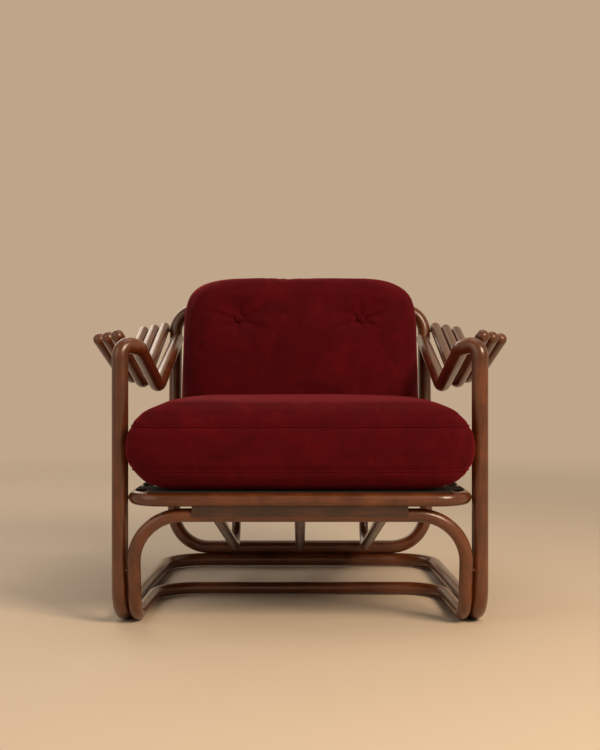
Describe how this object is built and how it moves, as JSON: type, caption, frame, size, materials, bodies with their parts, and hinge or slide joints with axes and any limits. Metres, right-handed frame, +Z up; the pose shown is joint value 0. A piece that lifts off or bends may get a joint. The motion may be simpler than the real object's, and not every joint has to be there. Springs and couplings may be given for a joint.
{
  "type": "lounge armchair",
  "caption": "Low lounge armchair with a bent pole frame, fanned rib arms, slatted back and loose velvet seat and back cushions.",
  "frame": {"origin": "on the floor, under the centre of the whole chair's box", "axes": "+X to the sitter's left, -Y out of the front, +Z up; the chair is the same left and right of the YZ plane"},
  "size_m": [0.94, 0.9104, 0.752],
  "materials": {
    "stained_pole": "dark walnut stain under satin lacquer",
    "stained_strip": "dark stained flat strip",
    "hardwood_pin": "stained hardwood pin",
    "glide": "matt moulded plastic",
    "webbing": "woven elastic webbing",
    "velvet": "short crimson cotton velvet pile",
    "foam": "upholstery foam wrapped in wadding"
  },
  "bodies": {
    "frame": {"side_pole_left": "stained_pole", "side_pole_right": "stained_pole", "rear_floor_bar": "stained_pole", "front_arch": "stained_pole", "mid_floor_bar": "stained_pole", "seat_ring": "stained_pole", "packing_strip": "stained_strip", "back_frame": "stained_pole", "slat_left": "stained_pole", "slat_centre": "stained_pole", "slat_right": "stained_pole", "rib_left_1": "stained_pole", "rib_left_2": "stained_pole", "rib_left_3": "stained_pole", "rib_right_1": "stained_pole", "rib_right_2": "stained_pole", "rib_right_3": "stained_pole", "rib_pins": "hardwood_pin", "ring_pins": "hardwood_pin", "arch_pins": "hardwood_pin", "back_pins": "hardwood_pin", "floor_glides": "glide", "seat_webbing": "webbing", "back_cover": "velvet", "back_core": "foam", "back_buttons": "velvet"},
    "seat_cushion": {"seat_cover": "velvet", "seat_core": "foam"}
  },
  "joints": [
    {"name": "seat_cushion_slide", "type": "slide", "parent": "frame", "child": "seat_cushion", "axis": [0, -1, 0], "range_m": [0, 0.5]}
  ]
}
